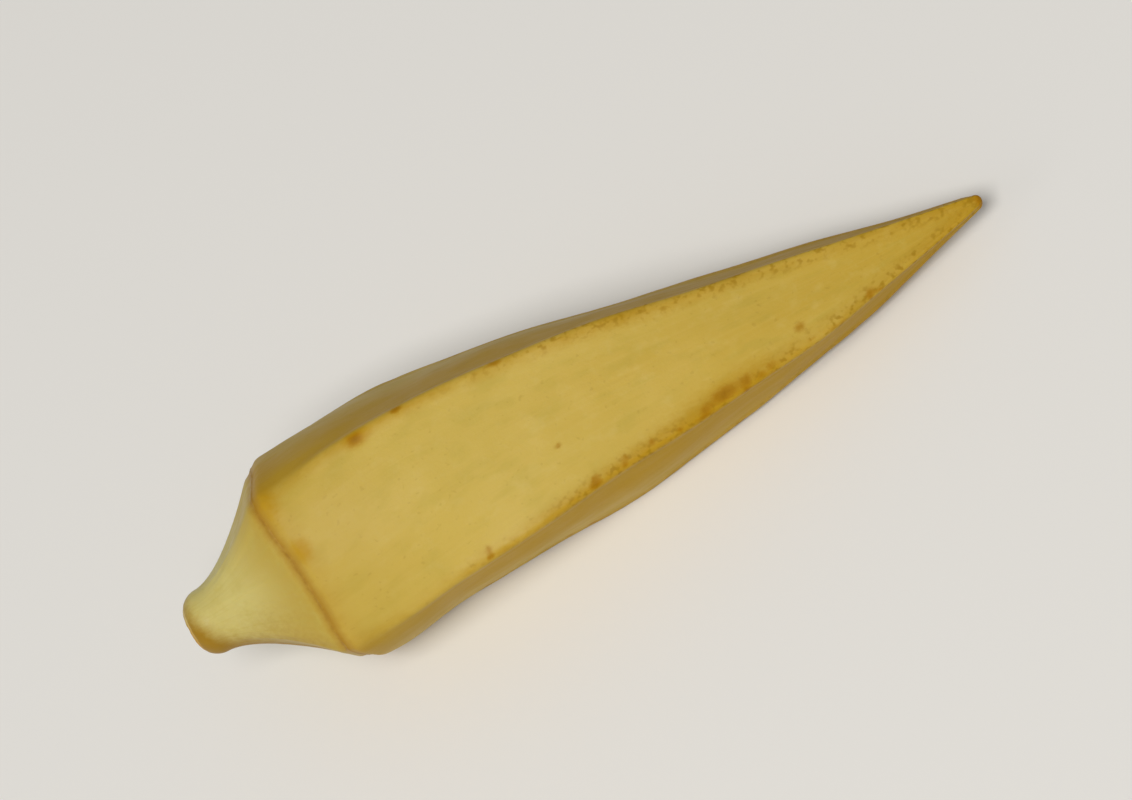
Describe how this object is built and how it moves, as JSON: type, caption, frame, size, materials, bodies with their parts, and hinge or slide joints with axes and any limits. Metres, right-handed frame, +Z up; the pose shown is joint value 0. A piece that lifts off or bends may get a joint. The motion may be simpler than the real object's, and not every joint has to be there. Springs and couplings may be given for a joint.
{
  "type": "pickled okra pod",
  "caption": "Whole pickled baby okra pod, trimmed to a cone at the stem: a ridged, slightly twisted five-sided body that tapers to a pointed tip, lying on its side.",
  "frame": {"origin": "middle of the bounding box's underside, on the surface the pod lies on", "axes": "+X along the pod from the cut stem to the pointed tip, +Z up, the broad side faces -Y and up"},
  "size_m": [0.0498, 0.0144, 0.0139],
  "materials": {
    "okra_skin": null
  },
  "bodies": {
    "root": {"okra_pod": "okra_skin"}
  },
  "joints": []
}
